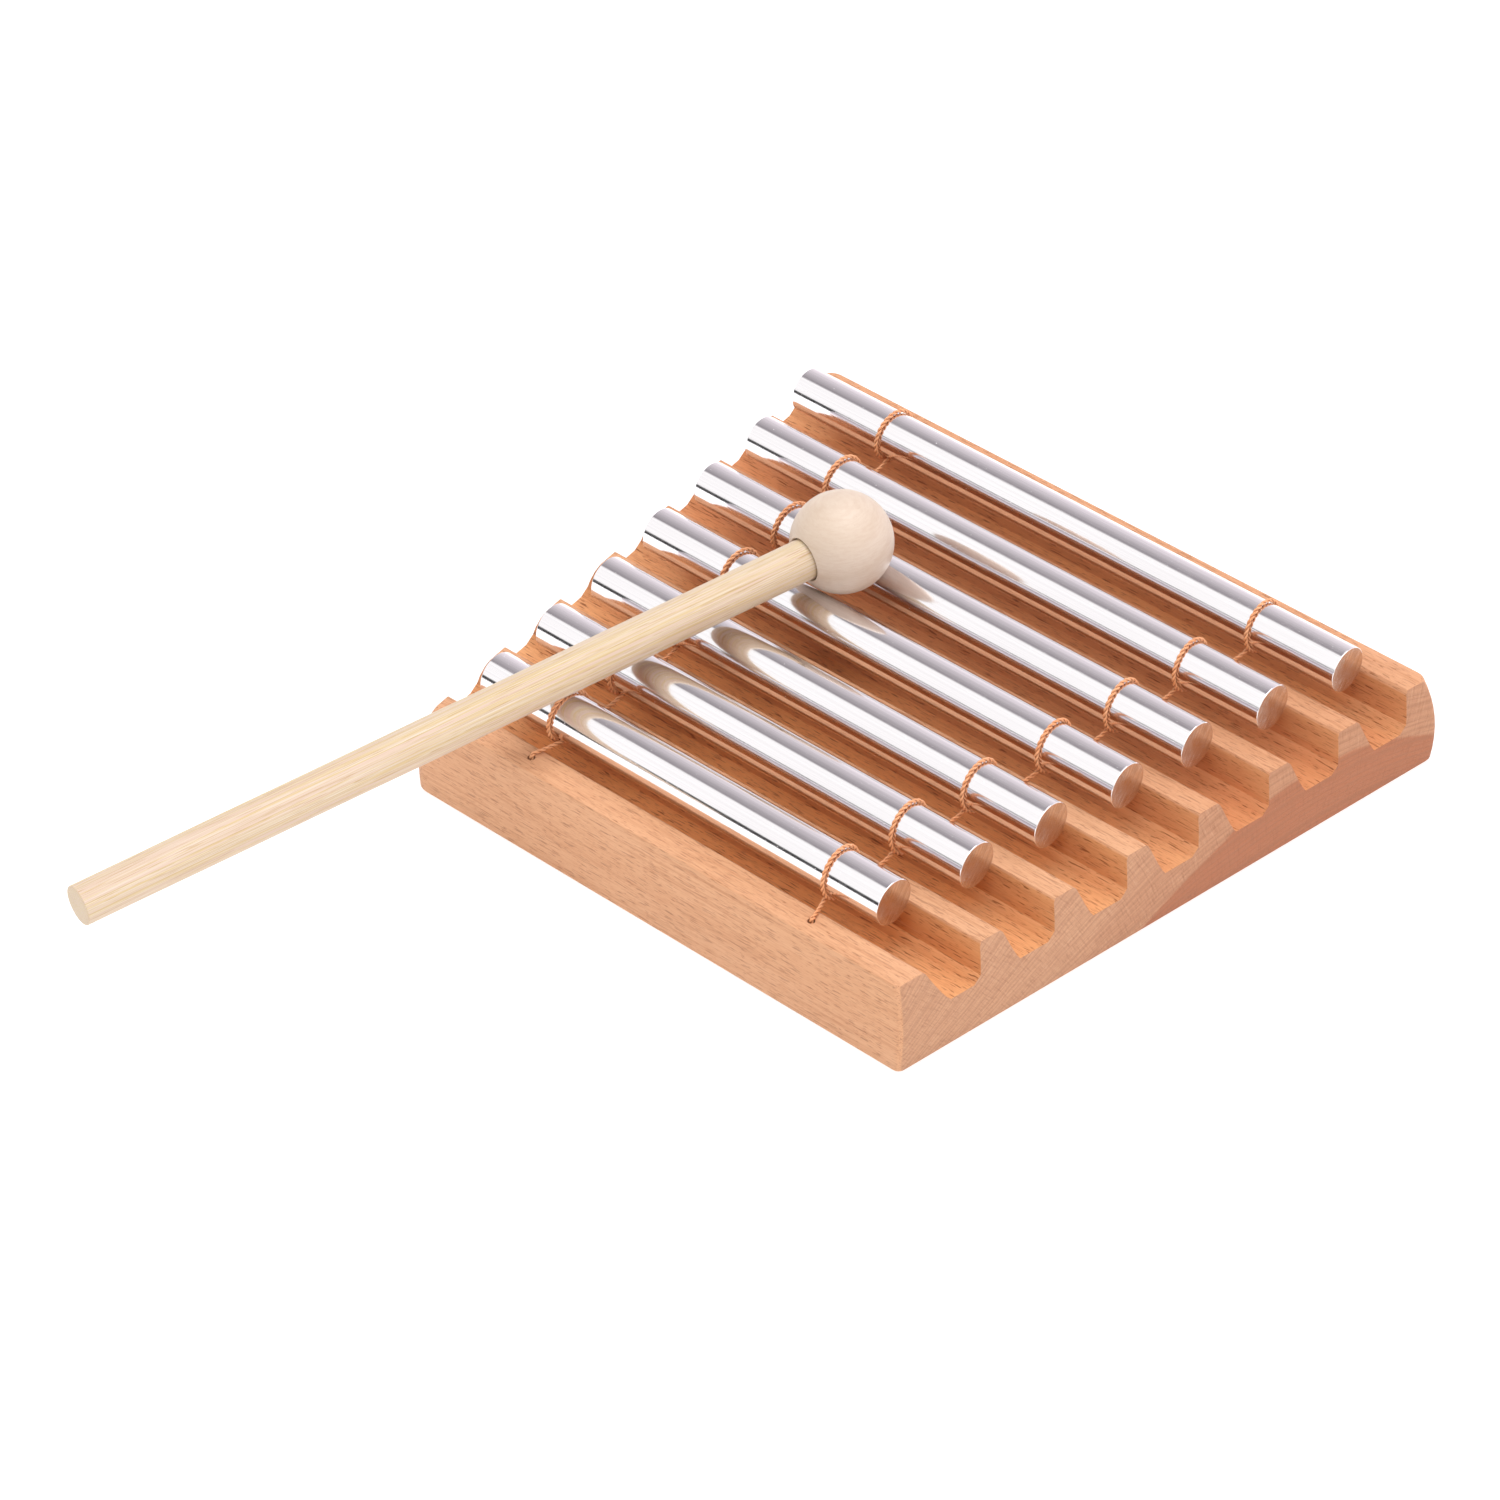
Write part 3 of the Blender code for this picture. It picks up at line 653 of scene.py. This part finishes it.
def rail_bend(x, hole_y, inward, rail_top):
    """Up through a rail's hole and over its rim towards the bars."""
    heights = np.linspace(CORD_END_Z, rail_top, CORD_BEND_STEPS, endpoint=False)
    points = [Vector((x, hole_y, height)) for height in heights]
    for step in range(CORD_BEND_STEPS + 1):
        angle = math.pi / 2.0 * step / CORD_BEND_STEPS
        across = hole_y + inward * CORD_BEND_RADIUS * (1.0 - math.cos(angle))
        rise = CORD_BEND_SQUASH * CORD_BEND_RADIUS * math.sin(angle)
        points.append(Vector((x, across, rail_top + rise)))
    return points


def point_between(before, after, y, height):
    """Point at a height and a place across the block, on the way between two others."""
    part = (y - before.y) / (after.y - before.y)
    return Vector((before.x + (after.x - before.x) * part, y, height))


def cord_route(name, ridges):
    """Centre line of a cord: front hole, a loop around every bar, back hole."""
    crossings = CORD_CROSSINGS[name]
    outward = math.copysign(1.0, crossings[0])
    rail_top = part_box("base")[1].z
    loops = []
    for node, x in zip(BAR_NODES, crossings):
        low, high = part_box(node)
        loops.append(loop_points(x, (low + high) / 2.0, (high.z - low.z) / 2.0, outward))
    front_x, back_x = CORD_HOLES[name]
    route = rail_bend(front_x, CORD_HOLE_FRONT_Y, 1.0, rail_top)
    rest = rail_top + CORD_TO_WOOD_GAP + CORD_RADIUS
    route.append(point_between(route[-1], loops[0][0], FRONT_RAIL_EDGE_Y, rest))
    for index, loop in enumerate(loops):
        route += loop
        if index < len(loops) - 1:
            before, after = loop[-1], loops[index + 1][0]
            for y, height in ridges[index]:
                route.append(point_between(before, after, y, height))
    back_bend = rail_bend(back_x, CORD_HOLE_BACK_Y, -1.0, rail_top)
    route.append(point_between(loops[-1][-1], back_bend[-1], BACK_RAIL_EDGE_Y, rest))
    route += reversed(back_bend)
    return route


def ridge_rests():
    """Where a cord lies on each ridge between two bars, front and back edge."""
    height = RIDGE_TOP_Z + CORD_TO_WOOD_GAP + CORD_RADIUS
    ridges = []
    for ridge in range(len(BAR_NODES) - 1):
        y = FIRST_RIDGE_Y + ridge * RIDGE_PITCH
        ridges.append([(y, height), (y + RIDGE_REST_WIDTH, height)])
    return ridges


def twisted(points, offset, phase):
    """Centre line of one ply, wound round the cord's own centre line."""
    _, normals, binormals = frames_along(points)
    angles = phase + 2.0 * math.pi * reach_along(points) / TWIST_PITCH
    outward = np.cos(angles)[:, None] * normals + np.sin(angles)[:, None] * binormals
    return points + offset * outward


def build_cords(material):
    """Two cords, each of two plies twisted together all the way."""
    ridges = ridge_rests()
    for name in CORD_CROSSINGS:
        centre_line = resampled(cord_route(name, ridges), TWIST_PITCH / STEPS_PER_PITCH)
        vertices = []
        faces = []
        hollow_shades = []
        for phase in (0.0, math.pi):
            ply = twisted(centre_line, CORD_RADIUS - PLY_RADIUS, phase)
            first = len(vertices)
            rings = tube_mesh(ply, PLY_RADIUS, PLY_SIDES)
            away = np.linalg.norm(rings - np.repeat(centre_line, PLY_SIDES, axis=0), axis=1)
            # Painted shade: more of it the nearer a point of a ply lies to the cord's centre line
            hollow_shade = (HOLLOW_SHADE_START - away / CORD_RADIUS) / HOLLOW_SHADE_DEPTH
            hollow_shades += np.clip(hollow_shade, 0.0, 1.0).tolist()
            vertices += rings.tolist()
            faces += tube_faces(len(ply), PLY_SIDES, first)
        piece = new_piece(name + "_twine", vertices, faces, [material], SHARP_CORD)
        depth = piece.data.attributes.new("hollow_shade", "FLOAT", "POINT")
        depth.data.foreach_set("value", hollow_shades)
        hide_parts(name)
        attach(piece, BASE_BODY)


def build_knots(material):
    """A tied stop knot at each cord end, drawn up small in its recess."""
    for cord_name in CORD_CROSSINGS:
        for end in ("front", "back"):
            node = f"{cord_name}_{end}_knot"
            low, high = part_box(node)
            scale = ((high.x - low.x) / 2.0 - KNOT_STRAND_RADIUS) / KNOT_REACH
            line = []
            for step in range(KNOT_STEPS + 1):
                angle = 2.0 * math.pi * step / KNOT_STEPS * KNOT_TURNED
                across = math.sin(angle) + 2.0 * math.sin(2.0 * angle)
                along = math.cos(angle) - 2.0 * math.cos(2.0 * angle)
                rise = -math.sin(3.0 * angle) * KNOT_WAVE
                line.append((across * scale, along * scale, rise * scale))
            vertices = tube_mesh(np.array(line), KNOT_STRAND_RADIUS, KNOT_SIDES).tolist()
            faces = tube_faces(len(line), KNOT_SIDES)
            piece = new_piece(node + "_tied", vertices, faces, [material], SHARP_CORD)
            piece.location = (low + high) / 2.0
            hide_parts(node)
            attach(piece, BASE_BODY)


def stick_axis():
    """The stick's free end, its other end and its radius at each, from its own mesh."""
    points = np.array([vertex.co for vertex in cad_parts["mallet_stick"].data.vertices])
    centre = points.mean(axis=0)
    axis = np.linalg.eigh(np.cov((points - centre).T))[1][:, -1]
    axis = axis if axis[1] > 0.0 else -axis
    along = (points - centre) @ axis
    away = np.linalg.norm(points - centre - np.outer(along, axis), axis=1)
    middle = (along.min() + along.max()) / 2.0
    free = Vector(centre + axis * along.min())
    held = Vector(centre + axis * along.max())
    return free, held, float(away[along < middle].max()), float(away[along > middle].max())


def along_axis(start, end):
    """Turn that takes local Z from start to end."""
    return (end - start).to_track_quat("Z", "Y").to_matrix().to_4x4()


def build_stick(material):
    """Tapered stick with softened cut ends and a slight waviness along it, as hand planing
    leaves.
    """
    free, held, free_radius, held_radius = stick_axis()
    length = (held - free).length
    profile = [(free_radius * POLE_PART, 0.0), (free_radius * 0.6, 0.0)]
    profile.append((free_radius - STICK_EDGE, 0.0))
    profile += rounded_edge(free_radius, 0.0, STICK_EDGE)
    for step in range(STICK_STEPS + 1):
        part = step / STICK_STEPS
        height = STICK_EDGE + (length - 2.0 * STICK_EDGE) * part
        radius = free_radius + (held_radius - free_radius) * part
        waist = STICK_WAVE * (1.0 + math.sin(height / STICK_WAVE_LENGTH))
        profile.append((radius - waist, height))
    profile += [(held_radius - STICK_EDGE, length), (held_radius * POLE_PART, length)]
    stick = turned_piece("bamboo_stick", profile, STICK_SIDES, [material])
    stick.matrix_world = Matrix.Translation(free) @ along_axis(free, held)
    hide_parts("mallet_stick")
    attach(stick, MALLET_BODY)


def build_ball(material):
    """Turned ball with a bored socket, slightly uneven as a hand-sanded ball is."""
    low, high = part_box("mallet_head")
    radius = (high.x - low.x) / 2.0
    centre = Vector(((low.x + high.x) / 2.0, high.y - radius, (low.z + high.z) / 2.0))
    free, held, _, held_radius = stick_axis()
    bore = held_radius + BORE_CLEARANCE
    mouth_angle = math.asin((bore + BORE_LIP) / radius)
    past_centre = math.copysign((held - centre).length, (held - centre).dot(held - free))
    floor_height = past_centre + BORE_END_GAP
    mouth = -radius * math.cos(mouth_angle)
    profile = [(bore * POLE_PART, floor_height), (bore, floor_height)]
    profile.append((bore, mouth + BORE_LIP * 1.6))
    profile.append((bore + BORE_LIP * 0.3, mouth + BORE_LIP * 0.5))
    skin = radius - BALL_INSET
    for step in range(BALL_STEPS + 1):
        angle = mouth_angle + (math.pi - mouth_angle) * step / BALL_STEPS
        groove = BALL_RING_DEPTH * math.cos(angle * BALL_RINGS)
        across = max(math.sin(angle), BALL_POLE_PART)
        profile.append(((skin + groove) * across, -skin * math.cos(angle)))
    ball = turned_piece("turned_ball", profile, BALL_SIDES, [material], SHARP_BALL)
    ball.matrix_world = Matrix.Translation(centre) @ along_axis(free, held)
    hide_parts("mallet_head")
    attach(ball, MALLET_BODY)


# ---------------------------------------------------------------- studio


def build_camera():
    """The camera, looking down along the bars from the front right."""
    back = Vector(
        (
            math.sin(CAMERA_AZIMUTH) * math.cos(CAMERA_ELEVATION),
            -math.cos(CAMERA_AZIMUTH) * math.cos(CAMERA_ELEVATION),
            math.sin(CAMERA_ELEVATION),
        )
    )
    data = bpy.data.cameras.new("camera")
    data.lens = CAMERA_LENS
    data.clip_start = 0.05
    data.clip_end = 50.0
    camera = bpy.data.objects.new("camera", data)
    bpy.context.scene.collection.objects.link(camera)
    turn = (-back).to_track_quat("-Z", "Y").to_matrix() @ Matrix.Rotation(CAMERA_ROLL, 3, "Z")
    place = Matrix.Translation(CAMERA_AIM + back * CAMERA_DISTANCE)
    camera.matrix_world = place @ turn.to_4x4()
    bpy.context.scene.camera = camera


def build_floor():
    """A pale sweep of plain board under the object."""
    material, graph, shader = new_material("studio_floor", 0.8)
    place = graph.millimetres()
    mottle = graph.noise(graph.scaled(place, (0.01, 0.01, 0.01)), detail=2.0)
    mottled = graph.remap(mottle, 0.3, 0.7)
    tone = graph.mix(mottled, colour(0.50, 0.50, 0.50), colour(0.48, 0.48, 0.485))
    feed(graph, shader, Base_Color=tone)
    shader.inputs["Emission Color"].default_value = colour(1.0, 1.0, 1.0)
    shader.inputs["Emission Strength"].default_value = FLOOR_GLOW
    size = FLOOR_HALF_SIZE
    vertices = [(-size, -size, 0.0), (size, -size, 0.0), (size, size, 0.0), (-size, size, 0.0)]
    floor = new_piece("studio_floor", vertices, [(0, 1, 2, 3)], [material], SHARP_TURNED)


def build_light():
    """Soft light: a wide white panel in front, a softbox overhead and a pale surround."""
    world = bpy.data.worlds.new("studio")
    bpy.context.scene.world = world
    world.use_nodes = True
    graph = Graph(world.node_tree)
    direction = graph.add("ShaderNodeTexCoord", {}, output="Generated")
    x, y, z = graph.split(direction)
    turn = graph.math("ARCTAN2", graph.math("MULTIPLY", y, -1.0), z)
    degrees = graph.math("MULTIPLY", turn, 180.0 / math.pi)
    panel = graph.remap(degrees, *PANEL_EDGE)
    under_panel = graph.remap(degrees, *PANEL_FOOT)
    front = graph.math("MULTIPLY_ADD", under_panel, PANEL_FALL, PANEL_STRENGTH)
    front = graph.math("MULTIPLY", panel, front)
    surround = graph.math("MULTIPLY_ADD", degrees, SURROUND_SLOPE, SURROUND_STRENGTH)
    surround = graph.math("MULTIPLY", surround, graph.math("SUBTRACT", 1.0, panel))
    fill = graph.math("MULTIPLY", graph.remap(x, 0.35, 0.7), FILL_STRENGTH)
    across = graph.remap(graph.math("ABSOLUTE", x), *SOFTBOX_HALF_WIDTH)
    off_middle = graph.math("SUBTRACT", y, SOFTBOX_MIDDLE_Y)
    along = graph.remap(graph.math("ABSOLUTE", off_middle), *SOFTBOX_HALF_DEPTH)
    overhead = graph.math("MULTIPLY", across, along)
    overhead = graph.math("MULTIPLY", overhead, graph.remap(z, 0.0, 0.1))
    strength = graph.math("ADD", front, surround)
    strength = graph.math("MULTIPLY_ADD", overhead, SOFTBOX_STRENGTH, strength)
    strength = graph.math("ADD", strength, fill)
    tint = graph.mix(panel, colour(1.0, 0.93, 0.98), colour(1.0, 0.995, 0.99))
    tint = graph.mix(overhead, tint, colour(1.0, 1.0, 1.0))
    background = world.node_tree.nodes["Background"]
    world.node_tree.links.new(tint, background.inputs["Color"])
    world.node_tree.links.new(strength, background.inputs["Strength"])
    bpy.context.scene.view_settings.view_transform = "Standard"


def main():
    """Dress every node of the frame, and add the camera, floor and light."""
    cord = cord_material()
    build_camera()
    build_cords(cord)
    build_knots(cord)
    build_block(beech_material())
    build_bars([aluminium_material(), sawn_end_material()])
    build_stick(bamboo_material())
    build_ball(ball_material())
    build_floor()
    build_light()


main()
